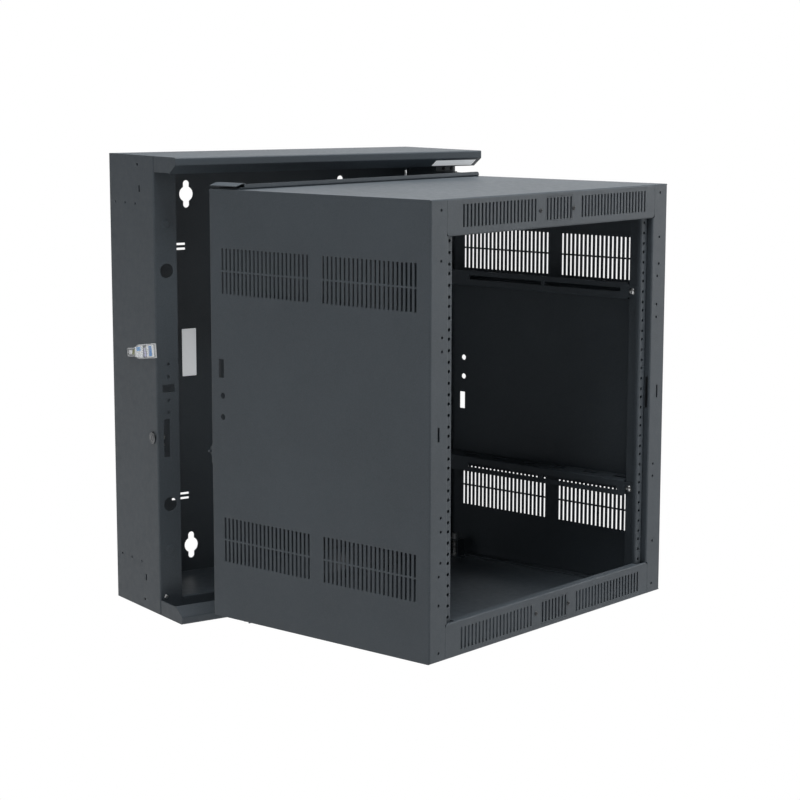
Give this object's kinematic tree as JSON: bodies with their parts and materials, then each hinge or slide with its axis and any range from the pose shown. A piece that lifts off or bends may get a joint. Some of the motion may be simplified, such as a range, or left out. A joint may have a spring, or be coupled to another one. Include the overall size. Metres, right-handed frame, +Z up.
{
  "type": "wall mount network cabinet",
  "caption": "Wall-mounted swing-out network rack: a vented equipment frame hinged on lift-out spring pins to a shallow wall pan with hood, ledge and key lock.",
  "frame": {"origin": "centre of the wall pan's rear face", "axes": "+X to the right as seen from the front, +Y into the wall, +Z up; the rack section is stored swung 15.5 degrees open"},
  "size_m": [0.667, 0.7094, 0.711],
  "materials": {
    "powder_coat": "matte",
    "bright_zinc": "satin",
    "spring_steel": "satin",
    "black_screw": "satin",
    "black_chrome": "polished",
    "nickel_key": "polished",
    "clear_sleeve": "gloss",
    "white_label": "matte"
  },
  "bodies": {
    "wall_pan": {"pan_shelf_top": "powder_coat", "pan_shelf_bottom": "powder_coat", "pan_rear_wall": "powder_coat", "pan_side_left": "powder_coat", "pan_side_right": "powder_coat", "pan_hood": "powder_coat", "pan_ledge": "powder_coat", "hood_end_cap_left": "powder_coat", "hood_end_cap_right": "powder_coat", "ledge_end_cap_left": "powder_coat", "ledge_end_cap_right": "powder_coat", "ledge_rivet": "powder_coat", "hinge_bracket_top": "powder_coat", "hinge_bracket_bottom": "powder_coat", "hinge_bracket_screws": "black_screw", "lock_body": "black_chrome", "lock_nut": "bright_zinc", "key_sleeve": "clear_sleeve", "keys": "nickel_key", "rear_label": "white_label", "hood_label": "white_label"},
    "rack_section": {"rack_side_left": "powder_coat", "rack_side_right": "powder_coat", "rack_top_cover": "powder_coat", "rack_bottom_cover": "powder_coat", "vent_insert_top": "powder_coat", "vent_insert_bottom": "powder_coat", "fascia_screws": "black_screw", "rack_rail_left": "powder_coat", "rack_rail_right": "powder_coat", "brace_upper_left": "powder_coat", "brace_lower_left": "powder_coat", "brace_upper_right": "powder_coat", "brace_lower_right": "powder_coat", "brace_bolts": "bright_zinc", "hinge_bar_top": "powder_coat", "hinge_bar_bottom": "powder_coat", "hinge_bar_lead_in": "powder_coat", "hinge_bush_top": "bright_zinc", "hinge_bush_bottom": "bright_zinc", "pin_housing_top": "powder_coat", "pin_housing_bottom": "powder_coat", "pin_spring_top": "spring_steel", "pin_spring_bottom": "spring_steel", "lock_keeper": "powder_coat", "ground_stud": "bright_zinc"},
    "upper_hinge_pin": {"hinge_pin_top": "bright_zinc"},
    "lower_hinge_pin": {"hinge_pin_bottom": "bright_zinc"},
    "lock_cylinder": {"lock_plug": "black_chrome", "lock_hook": "bright_zinc", "lock_hook_screw": "bright_zinc"}
  },
  "joints": [
    {"name": "rack_swing", "type": "hinge", "parent": "wall_pan", "child": "rack_section", "pos_m": [0.2485, -0.1965, 0], "axis": [0, 0, 1], "range_deg": [-15.5, 84.5]},
    {"name": "upper_pin_pull", "type": "slide", "parent": "rack_section", "child": "upper_hinge_pin", "axis": [0, 0, -1], "range_m": [0, 0.01], "stiffness_N_per_m": 600, "springref_m": -0.01, "deforming": ["pin_spring_top"]},
    {"name": "lower_pin_pull", "type": "slide", "parent": "rack_section", "child": "lower_hinge_pin", "axis": [0, 0, 1], "range_m": [0, 0.01], "stiffness_N_per_m": 600, "springref_m": -0.01, "deforming": ["pin_spring_bottom"]},
    {"name": "lock_turn", "type": "hinge", "parent": "wall_pan", "child": "lock_cylinder", "pos_m": [-0.27, -0.1327, -0.0772], "axis": [-1, 0, 0], "range_deg": [0, 90]}
  ]
}
